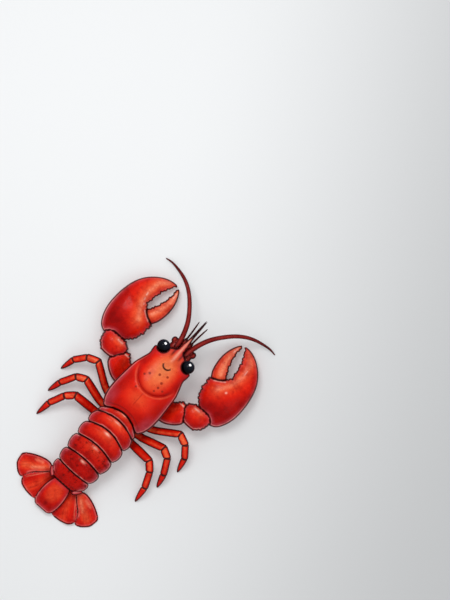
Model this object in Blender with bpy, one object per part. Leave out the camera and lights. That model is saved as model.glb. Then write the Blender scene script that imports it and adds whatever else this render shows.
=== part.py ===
"""A whole cooked lobster, lying flat on its belly with its claws forward and its tail fan spread.

The animal's head points along -Y and its back along +Z, so its left side is at +X. The origin is on the
table under the middle of its bounding box. Lengths are in millimetres until a point is placed. "Ahead" is
the distance forward of the tail fan's far end, measured along the body.
"""

import math

import bmesh
import bpy
import numpy as np
from mathutils import Vector

MM = 0.001
TOTAL_LENGTH = 310.0  # from the end of the tail fan to the foremost bend of the long feelers
GAP = 0.35  # clearance between neighbouring pieces of shell
LEFT, RIGHT = 1, -1
SIDES = (("left", LEFT), ("right", RIGHT))

# Body outline seen from above: (ahead, half width)
CARAPACE_HALF_WIDTH = (
    (136, 25.4), (139, 28.3), (145, 31.4), (151, 33.1), (162, 33.9), (173, 33.6), (185, 32.7),
    (196, 31.6), (207, 28.5), (216.5, 25.8), (222, 26.5), (226, 26.3), (229, 20.5), (236, 10.5),
    (239.5, 4.5), (247.5, 3.1), (255.5, 1.9), (259, 0.9), (260, 0.4),
)
ABDOMEN_HALF_WIDTH = (
    (38, 14.6), (41, 18.5), (44.5, 21.8), (50, 24.3), (65, 26.4), (82, 28.4), (100, 29.6),
    (116, 29.8), (128, 27.8), (136, 25.5), (146, 25.0),
)
# Heights above the table: (ahead, height) of the back's ridge, of the widest level and of the lower rim
CARAPACE_TOP = ((145, 46.8), (150, 48.6), (160, 51.6), (175, 54.0), (190, 54.5), (205, 52.5), (220, 49.0),
                (232, 45.5), (240, 43.6), (250, 42.4), (260, 42.6))
CARAPACE_MIDDLE = ((136, 26.0), (160, 29.0), (190, 31.0), (215, 32.0), (226, 33.0), (236, 36.0),
                   (239.5, 40.0), (250, 40.5), (260, 42.2))
CARAPACE_RIM = ((136, 10.4), (148, 10.4), (158, 12.4), (168, 16.6), (180, 18.4), (192, 19.6), (205, 21.8), (226, 23.5),
                (229, 24.5), (236, 27.0), (239.5, 36.5), (250, 38.4), (260, 41.9))
ABDOMEN_TOP = ((38, 20.5), (47, 26.0), (56, 29.8), (70, 34.5), (90, 39.5), (110, 43.0), (125, 45.0),
               (135, 45.9), (150, 46.4))
ABDOMEN_MIDDLE = ((38, 12.0), (50, 13.5), (75, 17.0), (100, 20.5), (125, 24.0), (146, 26.0))

# Carapace stations, rear to front: (ahead at the ridge, ahead at the sides, depth of a groove there)
CARAPACE_STATIONS = (
    (145.0, 136.0, 0.9), (146.3, 137.4, 0.0), (150.5, 142.5, 0.0), (157.5, 153.0, 0.0), (165.0, 167.5, 0.0),
    (171.5, 182.5, 0.0), (176.0, 195.5, 0.0), (179.0, 201.5, 1.1), (182.0, 205.5, 0.0), (189.5, 210.0, 0.0),
    (198.0, 213.5, 0.0), (207.0, 216.5, 0.0), (216.0, 219.5, 0.0), (224.0, 222.5, 0.0), (231.0, 225.0, 0.0),
    (235.0, 226.6, 0.0), (236.0, 229.0, 0.0), (237.0, 236.0, 0.0), (239.5, 239.5, 0.0), (244.0, 244.0, 0.0),
    (250.0, 250.0, 0.0), (255.5, 255.5, 0.0), (258.8, 258.8, 0.0), (260.0, 260.0, 0.0),
)

# Abdomen: one row per ring, front to rear
RINGS = (
    # ahead of front and rear edge at the ridge, the same at the sides, rim height, height of the underside
    {"ridge": (144.4, 135.0), "side": (135.5, 128.4), "rim": 10.2, "belly": 13.0, "ends": (0.87, 0.955)},
    {"ridge": (134.4, 118.4), "side": (127.8, 111.4), "rim": 9.4, "belly": 13.5, "ends": (0.92, 0.875)},
    {"ridge": (117.8, 97.6), "side": (110.8, 93.1), "rim": 5.0, "belly": 12.5, "ends": (0.87, 0.875)},
    {"ridge": (97.0, 76.5), "side": (92.5, 73.6), "rim": 4.0, "belly": 11.0, "ends": (0.87, 0.875)},
    {"ridge": (75.9, 55.9), "side": (73.0, 57.5), "rim": 4.0, "belly": 9.8, "ends": (0.87, 0.875)},
    {"ridge": (55.3, 38.4), "side": (56.9, 39.0), "rim": 5.2, "belly": 9.0, "ends": (0.88, 0.96)},
)
NECK_SCALE = 0.76  # the front of each ring tucks into the ring ahead of it
SOCKET_SCALE = 0.79
NECK_LENGTH = 3.0
SOCKET_DEPTH = 3.5

EYE_RADIUS = 7.5
EYE_CENTRE = (18.6, 231.8, 40.0)


def slopes_through(points):
    """The slope at each (position, value) point that keeps a curve through them free of overshoot."""
    at = np.array([p[0] for p in points], float)
    value = np.array([p[1] for p in points], float)
    step = np.diff(at)
    rise = np.diff(value) / step
    slope = np.zeros(len(at))
    slope[0], slope[-1] = rise[0], rise[-1]
    for i in range(1, len(at) - 1):
        if rise[i - 1] * rise[i] > 0:
            before, after = 2 * step[i] + step[i - 1], step[i] + 2 * step[i - 1]
            slope[i] = (before + after) / (before / rise[i - 1] + after / rise[i])
    return at, value, slope


def profile(points):
    """A smooth function through (position, value) points."""
    at, value, slope = slopes_through(points)

    def reading(position):
        position = min(max(position, at[0]), at[-1])
        i = min(int(np.searchsorted(at, position, side="right")) - 1, len(at) - 2)
        width = at[i + 1] - at[i]
        t = (position - at[i]) / width
        start = (1 + 2 * t) * (1 - t) ** 2 * value[i] + t * (1 - t) ** 2 * width * slope[i]
        end = t * t * (3 - 2 * t) * value[i + 1] - t * t * (1 - t) * width * slope[i + 1]
        return float(start + end)

    return reading


def resampled(rows, count):
    """The rows of numbers read as a smooth curve, at this many even steps."""
    rows = [np.array(row, float) for row in rows]
    out = []
    for k in range(count):
        t = k * (len(rows) - 1) / (count - 1)
        i = min(int(t), len(rows) - 2)
        f = t - i
        a, b = rows[i], rows[i + 1]
        before = rows[i - 1] if i else 2 * a - b
        after = rows[i + 2] if i + 2 < len(rows) else 2 * b - a
        out.append(0.5 * (2 * a + (b - before) * f + (2 * before - 5 * a + 4 * b - after) * f * f
                          + (3 * a - before - 3 * b + after) * f ** 3))
    return out


def place(x, ahead, z):
    """A point of the scene, in metres, from millimetres across, ahead of the tail's end and up."""
    return Vector((x, TOTAL_LENGTH / 2 - ahead, z)) * MM


def rounded(angle, squareness):
    """Across and up, each from -1 to 1, at this angle round a section that is an ellipse at squareness 2."""
    c, s = math.cos(angle), math.sin(angle)
    power = 2 / squareness
    return math.copysign(abs(c) ** power, c), math.copysign(abs(s) ** power, s)


def material(name, colour, roughness):
    """The finish of one kind of shell: its colour, its roughness and no metal."""
    made = bpy.data.materials.get(name) or bpy.data.materials.new(name)
    made.use_nodes = True
    shader = made.node_tree.nodes["Principled BSDF"]
    shader.inputs["Base Color"].default_value = (*colour, 1)
    shader.inputs["Roughness"].default_value = roughness
    shader.inputs["Metallic"].default_value = 0
    return made


def finished(name, mesh, finish):
    """The bmesh as a named object, smooth over its rounded faces."""
    bmesh.ops.recalc_face_normals(mesh, faces=mesh.faces)
    data = bpy.data.meshes.new(name)
    mesh.to_mesh(data)
    mesh.free()
    data.shade_smooth()
    data.set_sharp_from_angle(angle=math.radians(50))
    data.materials.append(finish)
    made = bpy.data.objects.new(name, data)
    bpy.context.scene.collection.objects.link(made)
    return made


def loft(name, rings, finish):
    """A closed solid through rings that have the same number of points, with both ends capped."""
    mesh = bmesh.new()
    loops = [[mesh.verts.new(point) for point in ring] for ring in rings]
    around = len(loops[0])
    for first, second in zip(loops, loops[1:]):
        for i in range(around):
            j = (i + 1) % around
            mesh.faces.new((first[i], first[j], second[j], second[i]))
    caps = [mesh.faces.new(loops[0][::-1]), mesh.faces.new(loops[-1])]
    bmesh.ops.poke(mesh, faces=caps)
    return finished(name, mesh, finish)


def shape_with(piece, others, operation):
    """Cuts the other pieces from this one, or joins them to it, and removes them."""
    for other in others:
        step = piece.modifiers.new(operation.lower(), "BOOLEAN")
        step.operation = operation
        step.object = other
        step.solver = "EXACT"
    bpy.context.view_layer.update()
    graph = bpy.context.evaluated_depsgraph_get()
    made = bpy.data.meshes.new_from_object(piece.evaluated_get(graph), depsgraph=graph)
    piece.modifiers.clear()
    piece.data = made
    for other in others:
        bpy.data.objects.remove(other)
    return piece


def arch_section(ridge_ahead, side_ahead, half_width, top, middle, rim, belly,
                 tuck=0.8, up=7, low=2, under=2, groove=0.0):
    """A section across the body: an arched back, sides that turn in below the widest level, and a belly."""
    half = []
    for k in range(up + 1):
        x, z = rounded(math.pi / 2 * (1 - k / up), 2.2)
        x, z = x * half_width, middle + z * (top - middle)
        sink = groove * math.sin(math.pi / 2 * (1 - k / up)) if k < up else 0.0
        half.append((x * (1 - sink / half_width), z - sink))
    for k in range(1, low + 1):
        turn = math.pi / 2 * k / low
        half.append((half_width * (1 - (1 - tuck) * (1 - math.cos(turn))), middle - (middle - rim) * math.sin(turn)))
    for k in range(1, under + 1):
        t = k / under
        half.append((half_width * tuck * (1 - t), rim + (belly - rim) * math.sin(math.pi / 2 * t)))
    outline = half + [(-x, z) for x, z in half[-2:0:-1]]
    bow = side_ahead - ridge_ahead
    return [place(x, ridge_ahead + bow * (x / half_width) ** 2, z) for x, z in outline]


def scaled_section(ridge_ahead, side_ahead, scale, rim, belly, **more):
    """A section of the abdomen, drawn in by this scale about its widest level."""
    half_width = profile(ABDOMEN_HALF_WIDTH)(side_ahead)
    top = profile(ABDOMEN_TOP)(ridge_ahead)
    middle = profile(ABDOMEN_MIDDLE)(ridge_ahead)
    across, lift = scale if isinstance(scale, tuple) else (scale, scale)
    return arch_section(ridge_ahead, side_ahead, half_width * across, middle + (top - middle) * lift, middle,
                        middle - (middle - rim) * min(1.0, lift), middle - (middle - belly) * min(1.0, lift), **more)


def add_carapace(finish, eye_finish):
    """The shield over head and thorax, with its groove, its beak and a socket for each eye."""
    half_width, top = profile(CARAPACE_HALF_WIDTH), profile(CARAPACE_TOP)
    middle, rim = profile(CARAPACE_MIDDLE), profile(CARAPACE_RIM)
    detail = {"up": 9, "low": 3, "under": 2}
    first = RINGS[0]
    ridge, side = CARAPACE_STATIONS[0][:2]
    socket_rim = max(first["rim"], rim(side))
    rings = [
        scaled_section(ridge + reach, side + reach, SOCKET_SCALE, socket_rim, first["belly"], **detail)
        for reach in (SOCKET_DEPTH, 0.0)
    ]
    for ridge, side, groove in CARAPACE_STATIONS:
        rings.append(arch_section(ridge, side, half_width(side), top(ridge), middle(side), rim(side), rim(side),
                                  groove=groove, **detail))
    carapace = loft("carapace", rings, finish)
    sockets = [add_eye("socket_cutter", sign, eye_finish, grow=GAP, raised=8.0) for _, sign in SIDES]
    sockets += [tube("socket_cutter", mirrored(FEELER_BASE, sign), finish, around=8, grow=GAP) for _, sign in SIDES]
    return shape_with(carapace, sockets, "DIFFERENCE")


def add_eye(name, sign, finish, grow=0.0, raised=0.0):
    """One round eye. A cutter for its socket is a little larger, and open above."""
    x, ahead, z = EYE_CENTRE
    mesh = bmesh.new()
    bmesh.ops.create_uvsphere(mesh, u_segments=12, v_segments=8, radius=(EYE_RADIUS + grow) * MM)
    for vertex in mesh.verts:
        if vertex.co.z > 1e-6:
            vertex.co.z += raised * MM
    bmesh.ops.translate(mesh, verts=mesh.verts, vec=place(sign * x, ahead, z))
    return finished(name, mesh, finish)


def add_ring(number, finish):
    """One ring of the abdomen: a neck that tucks under the ring ahead, a bulging band and a socket behind."""
    ring = RINGS[number]
    ridge, side, (front, rear) = ring["ridge"], ring["side"], ring["ends"]
    # Along the ring from front to rear: share of its length, share of its full width and of its full height
    bulge = (
        (0.0, front, 0.93), (0.07, 0.55 * front + 0.45, 0.957), (0.25, 0.12 * front + 0.88, 0.99),
        (0.5, 1.0, 1.0), (0.78, 0.22 * rear + 0.78, 1.0), (0.93, 0.6 * rear + 0.4, 0.985), (1.0, rear, 0.945),
    )
    ahead_ring = RINGS[number - 1] if number else {"rim": 10.2, "belly": 13.0}
    behind_ring = RINGS[min(number + 1, len(RINGS) - 1)]
    neck_rim, neck_belly = (max(ahead_ring[key], ring[key]) for key in ("rim", "belly"))
    socket_rim, socket_belly = (max(behind_ring[key], ring[key]) for key in ("rim", "belly"))
    rings = [
        scaled_section(ridge[0] + reach, side[0] + reach, NECK_SCALE, neck_rim, neck_belly)
        for reach in (NECK_LENGTH, 0.0)
    ]
    for share, across, lift in bulge:
        at_ridge = ridge[0] + (ridge[1] - ridge[0]) * share
        at_side = side[0] + (side[1] - side[0]) * share
        rings.append(scaled_section(at_ridge, at_side, (across, lift), ring["rim"], ring["belly"]))
    if number < len(RINGS) - 1:
        rings += [
            scaled_section(ridge[1] + reach, side[1] + reach, SOCKET_SCALE, socket_rim, socket_belly)
            for reach in (0.0, SOCKET_DEPTH)
        ]
    return loft(f"abdomen_ring_{number + 1}", rings, finish)


def blade_section(outer, inner, bottom, top, squareness, around, bump=0.0, level=0.45):
    """A section between an outer and an inner edge point in plan. The bump moves the inner edge outwards."""
    outer, inner = np.array(outer), np.array(inner)
    centre, half = (outer + inner) / 2, (outer - inner) / 2
    length = float(np.linalg.norm(half))
    middle = bottom + level * (top - bottom)
    points = []
    for k in range(around):
        across, lift = rounded(2 * math.pi * k / around, squareness)
        plan = centre + half * (across - bump / max(length, 1e-6) * max(0.0, -across) ** 3)
        z = middle + lift * ((top - middle) if lift > 0 else (middle - bottom))
        points.append((plan[0], plan[1], max(z, 0.0)))
    return points


def add_blade(name, sign, rows, finish, count, around=16, squareness=2.2, bumps=(), grow=0.0):
    """A limb piece lofted through rows of (outer x, outer ahead, inner x, inner ahead, bottom, top).
    Each bump is (first row, last row, depth) of a toothed stretch on the inner edge."""
    rings = []
    last_row = len(rows) - 1
    for k, row in enumerate(resampled(rows, count)):
        at = k * last_row / (count - 1)
        bump = sum(depth * (-1) ** k for first, last, depth in bumps if first <= at <= last)
        outer, inner = row[0:2], row[2:4]
        if grow:
            reach = (outer - inner) / np.linalg.norm(outer - inner) * grow
            outer, inner = outer + reach, inner - reach
        section = blade_section(outer, inner, row[4] - grow, row[5] + grow, squareness, around, bump)
        rings.append([place(sign * x, ahead, z) for x, ahead, z in section])
    return loft(name, rings, finish)


# Each claw, for the left side: (outer x, outer ahead, inner x, inner ahead, bottom, top) of each section
PALM = (
    (80.6, 198.2, 60.5, 206.0, 8.0, 18.0), (87.8, 201.6, 54.5, 209.5, 4.0, 22.0),
    (93.6, 210.3, 49.2, 215.5, 1.2, 25.5), (97.1, 221.7, 45.8, 224.3, 0.0, 28.5),
    (98.0, 233.0, 44.8, 233.0, 0.0, 29.5), (97.6, 243.0, 45.6, 241.6, 0.3, 29.0),
    (96.4, 251.4, 57.6, 248.3, 0.8, 27.0), (94.4, 259.9, 63.3, 253.5, 1.2, 24.0),
    (91.0, 268.5, 63.8, 261.6, 1.8, 21.8), (85.4, 277.0, 62.1, 270.2, 2.4, 19.5),
    (77.4, 284.6, 59.6, 278.2, 3.0, 17.2), (68.2, 290.3, 56.6, 284.8, 3.6, 14.5),
    (59.0, 293.0, 53.6, 289.1, 4.4, 11.4), (52.9, 293.0, 51.2, 291.0, 5.6, 9.4),
)
FINGER = (
    (49.5, 234.0, 64.5, 242.5, 9.0, 19.0), (46.6, 237.5, 63.0, 246.0, 6.6, 21.5),
    (43.6, 242.6, 60.6, 250.2, 5.4, 22.6), (41.2, 247.0, 58.5, 253.3, 5.0, 22.4),
    (39.6, 253.0, 55.9, 257.3, 4.8, 21.6), (38.5, 260.5, 53.4, 262.4, 4.8, 20.4),
    (38.5, 268.5, 51.3, 269.2, 4.8, 18.8), (39.9, 276.5, 49.7, 275.9, 5.0, 16.6),
    (42.4, 283.3, 49.3, 282.2, 5.2, 13.6), (45.6, 288.6, 49.6, 287.0, 5.6, 10.8),
    (47.9, 291.0, 49.4, 289.8, 6.4, 9.0),
)
WRIST = (
    (67.6, 180.9, 58.6, 180.9, 9.0, 20.0), (72.6, 183.7, 52.8, 183.6, 5.0, 24.0),
    (76.5, 188.0, 48.8, 188.0, 2.6, 26.6), (79.0, 193.5, 46.3, 193.5, 1.8, 27.8),
    (79.5, 199.0, 45.7, 199.0, 2.0, 27.8), (78.2, 203.4, 48.0, 203.4, 4.0, 26.0),
    (74.5, 206.3, 54.5, 206.3, 8.0, 22.0),
)
ARM = (
    (15.8, 167.0, 15.8, 181.5, 1.6, 11.5), (24.0, 163.8, 24.0, 187.0, 1.2, 13.6),
    (34.2, 163.8, 33.0, 191.0, 1.0, 17.2), (41.5, 165.6, 38.0, 196.0, 1.6, 20.4),
    (48.8, 170.0, 42.6, 199.0, 3.0, 23.5), (55.4, 176.0, 46.9, 198.4, 4.0, 24.0),
    (57.0, 183.0, 51.0, 193.5, 7.5, 20.5),
)


def add_claw(side, sign, finish):
    """One great claw: the arm, the wrist, the palm with its fixed finger and the hinged finger."""
    wrist = dict(rows=WRIST, count=9, around=14, squareness=2.5, bumps=((1, 5, 0.45),))
    finger = dict(rows=FINGER, count=15, around=12, squareness=2.1, bumps=((3, 8.5, 0.6),))
    palm_rows = dict(rows=PALM, count=24, around=16, squareness=2.3, bumps=((1, 4.6, 0.7), (7.2, 12, 0.65)))
    arm_rows = dict(rows=ARM, count=8, around=12, squareness=2.4, bumps=((2.6, 5.2, 0.5),))
    add_blade(f"claw_wrist_{side}", sign, finish=finish, **wrist)
    add_blade(f"claw_finger_{side}", sign, finish=finish, **finger)
    palm = add_blade(f"claw_palm_{side}", sign, finish=finish, **palm_rows)
    cutters = [
        add_blade("finger_cutter", sign, finish=finish, grow=GAP, **finger),
        add_blade("wrist_cutter", sign, finish=finish, grow=GAP, **wrist),
    ]
    shape_with(palm, cutters, "DIFFERENCE")
    arm = add_blade(f"claw_arm_{side}", sign, finish=finish, **arm_rows)
    wrist_cutter = add_blade("wrist_cutter", sign, finish=finish, grow=GAP, **wrist)
    shape_with(arm, [wrist_cutter], "DIFFERENCE")


# Each walking leg, front to rear, for the left side: joints as (x, ahead, height)
LEGS = (
    ((15.6, 145.6, 4.6), (35.2, 150.8, 6.4), (62.5, 168.8, 21.0), (74.8, 163.6, 20.0), (84.5, 151.5, 12.0),
     (88.9, 134.0, 0.8)),
    ((15.6, 135.8, 4.6), (29.9, 135.8, 5.5), (59.0, 144.5, 20.0), (69.7, 138.9, 19.0), (78.8, 122.1, 11.5),
     (83.2, 105.5, 0.8)),
    ((15.6, 126.0, 4.6), (26.8, 124.0, 5.1), (56.2, 122.8, 19.0), (65.1, 113.8, 18.0), (72.7, 96.5, 11.0),
     (75.2, 77.0, 0.8)),
)
LEG_PIECES = ("upper", "knee", "lower", "toe")
LEG_HEIGHT_SHARE = 0.86  # a leg is a little flatter than it is wide
# Width along each piece from its start to its end: (share of its length, width)
LEG_WIDTHS = {
    "upper": ((0.0, 8.0), (0.25, 9.2), (0.45, 10.5), (0.75, 10.8), (0.93, 10.3), (1.0, 9.0)),
    "knee": ((0.0, 8.4), (0.25, 9.6), (0.75, 9.5), (1.0, 8.2)),
    "lower": ((0.0, 7.4), (0.2, 8.6), (0.85, 8.6), (1.0, 7.4)),
    "toe": ((0.0, 6.8), (0.18, 7.8), (0.55, 6.2), (0.85, 3.8), (1.0, 1.3)),
}


def joint_normal(before, joint, after):
    """The direction across which two pieces meet at a joint, halfway between their own directions."""
    return ((joint - before).normalized() + (after - joint).normalized()).normalized()


def add_limb_piece(name, points, widths, start_normal, end_normal, finish, around=8):
    """A tapered piece of a limb along its points, cut square to the given directions at its two ends."""
    spans = np.cumsum([0.0] + [(b - a).length for a, b in zip(points, points[1:])])
    width_at = profile(widths)
    rings = []
    for share, _ in widths:
        distance = share * spans[-1]
        i = min(int(np.searchsorted(spans, distance, side="right")) - 1, len(points) - 2)
        step = (distance - spans[i]) / (spans[i + 1] - spans[i])
        centre = points[i].lerp(points[i + 1], step)
        ahead = start_normal.slerp(end_normal, share)
        across = ahead.cross(Vector((0, 0, 1))).normalized()
        upward = across.cross(ahead).normalized()
        half = width_at(share) / 2 * MM
        rings.append([
            centre + across * half * math.cos(2 * math.pi * k / around)
            + upward * half * LEG_HEIGHT_SHARE * math.sin(2 * math.pi * k / around)
            for k in range(around)
        ])
    return loft(name, rings, finish)


def add_leg(number, side, sign, finish):
    """One walking leg of four pieces, which meet across planes that halve each joint's angle."""
    joints = [place(sign * x, ahead, z) for x, ahead, z in LEGS[number]]
    runs = (joints[0:3], joints[2:4], joints[3:5], joints[4:6])
    outward = Vector((sign, 0, 0))
    normals = [outward] + [joint_normal(joints[i - 1], joints[i], joints[i + 1]) for i in (2, 3, 4)]
    normals.append((joints[5] - joints[4]).normalized())
    for k, (piece, run) in enumerate(zip(LEG_PIECES, runs)):
        first, last = normals[k], normals[k + 1]
        points = [run[0] + first * GAP / 2 * MM, *run[1:-1], run[-1] - last * GAP / 2 * MM]
        add_limb_piece(f"leg_{number + 1}_{side}_{piece}", points, LEG_WIDTHS[piece], first, last, finish)


# Tail fan: sections from the hinge to the free end
TELSON = ((38.0, 10.9, 9.4, 18.4), (36.2, 12.2, 9.0, 18.0), (32.5, 13.5, 8.4, 17.0), (26.0, 14.9, 7.0, 14.6),
          (18.0, 15.4, 5.8, 11.6), (11.0, 14.9, 5.0, 9.2), (6.0, 13.8, 4.6, 7.6), (2.6, 12.0, 4.4, 6.8),
          (0.6, 9.6, 4.4, 6.2), (0.0, 7.2, 4.7, 5.8))
OUTER_LOBE = (
    (20.6, 43.6, 20.4, 39.2, 6.9, 10.6), (23.5, 46.0, 22.6, 36.6, 6.4, 10.2), (29.0, 47.2, 27.2, 31.8, 5.2, 9.2),
    (36.5, 45.8, 31.9, 27.0, 3.4, 7.2), (44.5, 42.9, 35.7, 22.6, 1.8, 5.2), (51.5, 39.0, 38.4, 17.4, 0.7, 3.6),
    (57.4, 34.6, 40.2, 12.2, 0.2, 2.7), (57.8, 29.8, 46.6, 12.5, 0.0, 2.3), (57.0, 24.6, 54.6, 19.6, 0.2, 1.8),
)
INNER_LOBE = (
    (18.9, 41.1, 7.6, 41.4, 2.6, 4.4), (22.2, 36.8, 9.8, 36.6, 3.4, 6.4), (26.25, 32.5, 11.2, 30.0, 4.2, 7.0),
    (31.1, 27.55, 10.2, 23.5, 3.6, 6.2), (35.9, 22.8, 9.6, 17.0, 3.0, 5.4), (38.6, 17.8, 9.6, 10.5, 2.4, 4.6),
    (39.6, 13.8, 11.2, 4.9, 1.8, 4.0), (39.0, 10.2, 15.0, 2.8, 1.3, 3.4), (35.8, 6.6, 20.5, 2.6, 1.0, 2.8),
    (31.8, 4.9, 26.4, 3.3, 1.0, 2.2),
)
LOBE_TILT = 2.6  # each inner lobe lies over the outer lobe and under the telson
TAIL_KNUCKLE = ((22.8, 45.8, 13.2, 1.5), (21.2, 44.0, 13.8, 2.5), (17.4, 39.8, 14.4, 3.0), (14.7, 37.0, 14.6, 2.0))


def add_telson(finish):
    """The middle plate of the tail fan, domed above and nearly flat below."""
    rings = []
    for ahead, half_width, bottom, top in resampled(TELSON, 11):
        section = blade_section((half_width, ahead), (-half_width, ahead), bottom, top, 2.3, 14, level=0.3)
        rings.append([place(*point) for point in section])
    return loft("telson", rings, finish)


def add_lobe(name, sign, rows, finish, count, tilt=0.0):
    """One plate of the tail fan. A tilt lifts its outer edge and lowers its inner edge."""
    rings = []
    for row in resampled(rows, count):
        section = blade_section(row[0:2], row[2:4], row[4], row[5], 2.6, 10, level=0.35)
        centre, half = (row[0] + row[2]) / 2, (row[0] - row[2]) / 2
        rings.append([place(sign * x, ahead, z + tilt / 2 * (x - centre) / max(half, 3.0)) for x, ahead, z in section])
    return loft(name, rings, finish)


def add_ellipsoid(name, sign, centre, radii, finish, around=9, levels=6):
    """A rounded knob with its three radii."""
    mesh = bmesh.new()
    bmesh.ops.create_uvsphere(mesh, u_segments=around, v_segments=levels, radius=1.0)
    bmesh.ops.scale(mesh, verts=mesh.verts, vec=Vector(radii) * MM)
    x, ahead, z = centre
    bmesh.ops.translate(mesh, verts=mesh.verts, vec=place(sign * x, ahead, z))
    return finished(name, mesh, finish)


def add_tail_fan(finish, last_ring):
    """The telson, two lobes on each side, and the knuckle that carries each pair."""
    telson = add_telson(finish)
    for side, sign in SIDES:
        pieces = [
            last_ring,
            telson,
            add_lobe(f"tail_lobe_outer_{side}", sign, OUTER_LOBE, finish, 10),
            add_lobe(f"tail_lobe_inner_{side}", sign, INNER_LOBE, finish, 12, LOBE_TILT),
        ]
        for piece in pieces:
            cutter = tube("knuckle_cutter", mirrored(TAIL_KNUCKLE, sign), finish, around=8, grow=GAP)
            shape_with(piece, [cutter], "DIFFERENCE")
        tube(f"tail_knuckle_{side}", mirrored(TAIL_KNUCKLE, sign), finish, around=8)


# Underside: (ahead, half width, height of the top)
STERNUM = ((119.5, 9.0, 6.4), (121.5, 13.0, 8.6), (128.0, 15.2, 9.0), (137.0, 15.2, 9.4), (150.0, 15.2, 9.6),
           (161.0, 15.2, 10.0), (172.0, 15.2, 14.6), (185.0, 14.4, 17.6), (198.0, 12.0, 19.0), (204.0, 8.5, 17.4))
MOUTH_LIMB = ((6.0, 205.1, 13.5, 3.2), (7.0, 211.0, 14.8, 4.4), (7.2, 220.0, 15.8, 4.0), (5.8, 229.0, 17.2, 3.2),
              (4.6, 236.0, 19.0, 2.2), (4.2, 239.5, 20.0, 0.9))


def add_sternum(finish):
    """The breastplate between the legs. Its flat underside is what the lobster rests on."""
    rings = []
    for ahead, half_width, top in STERNUM:
        points = []
        for k in range(12):
            across, lift = rounded(2 * math.pi * (k + 0.5) / 12, 4.0)
            z = top / 2 * (1 + lift)
            points.append(place(across * half_width, ahead, z if z > 0.6 else 0.0))
        rings.append(points)
    return loft("sternum", rings, finish)


def tube(name, path, finish, around=8, grow=0.0):
    """A round solid along a path of (x, ahead, height, radius), with both ends closed."""
    rings = []
    points = [place(x, ahead, z) for x, ahead, z, _ in path]
    for k, point in enumerate(points):
        ahead = points[min(k + 1, len(points) - 1)] - points[max(k - 1, 0)]
        across = ahead.cross(Vector((0, 0, 1))).normalized()
        upward = across.cross(ahead).normalized()
        radius = (path[k][3] + grow) * MM
        if grow and k in (0, len(points) - 1):
            point = point + ahead.normalized() * (grow if k else -grow) * MM
        rings.append([
            point + across * radius * math.cos(2 * math.pi * i / around)
            + upward * radius * math.sin(2 * math.pi * i / around)
            for i in range(around)
        ])
    return loft(name, rings, finish)


def mirrored(path, sign):
    """The path on the left or right side of the body."""
    return [(sign * row[0], *row[1:]) for row in path]


# Feelers, for the left side: (x, ahead, height, radius)
LONG_FEELER = (
    (7.3, 238.8, 36.6, 1.9), (7.5, 241.0, 36.9, 2.4), (7.9, 246.0, 36.8, 2.65), (9.2, 252.4, 36.2, 2.7),
    (11.5, 260.0, 35.4, 2.65), (15.4, 269.0, 34.4, 2.55), (20.5, 277.2, 33.2, 2.4), (27.4, 285.8, 31.0, 2.3),
    (35.3, 293.9, 27.0, 2.15), (44.5, 300.6, 21.4, 2.0), (54.7, 305.2, 14.8, 1.75), (66.1, 307.9, 7.8, 1.4),
    (75.2, 308.8, 3.2, 1.05), (82.7, 307.8, 0.9, 0.6),
)
FEELER_BASE = ((10.4, 232.6, 27.6, 4.4), (10.4, 236.0, 27.8, 5.0), (10.2, 240.0, 28.0, 5.0), (9.9, 243.2, 28.2, 4.4),
               (9.5, 244.2, 28.2, 3.6), (9.0, 246.8, 28.4, 3.6), (8.6, 250.6, 29.0, 2.6))
FEELER_SCALE = {"centre": (13.8, 245.2, 28.4), "radii": (3.5, 4.2, 3.4)}
SHORT_FEELER_BASE = ((2.9, 239.4, 31.2, 2.0), (3.0, 243.6, 31.4, 2.3), (3.2, 247.0, 31.6, 2.0), (3.3, 248.0, 31.7, 2.6),
                     (3.7, 251.6, 32.0, 2.8), (4.0, 255.2, 32.2, 1.8))
SHORT_FEELER_OUTER = ((4.4, 252.6, 32.2, 1.25), (4.2, 258.0, 33.0, 1.1), (5.0, 268.0, 34.6, 0.9), (6.1, 277.6, 35.4, 0.6))
SHORT_FEELER_INNER = ((2.2, 252.6, 32.2, 1.1), (1.1, 258.5, 33.2, 0.95), (0.8, 268.0, 35.0, 0.7), (0.58, 282.7, 36.6, 0.5))


def add_feelers(side, sign, finish):
    """One long feeler on its jointed base with its scale, and one short feeler with its two whips."""
    path = [tuple(row) for row in resampled(mirrored(LONG_FEELER, sign), 17)]
    tube(f"long_feeler_{side}", path, finish, around=7)
    base = tube(f"feeler_base_{side}", mirrored(FEELER_BASE, sign), finish, around=8)
    scale = add_ellipsoid("scale", sign, finish=finish, **FEELER_SCALE)
    shape_with(base, [scale], "UNION")
    short = tube(f"short_feeler_{side}", mirrored(SHORT_FEELER_BASE, sign), finish, around=8)
    whips = [
        tube("whip", mirrored(path, sign), finish, around=5)
        for path in (SHORT_FEELER_OUTER, SHORT_FEELER_INNER)
    ]
    shape_with(short, whips, "UNION")


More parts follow.
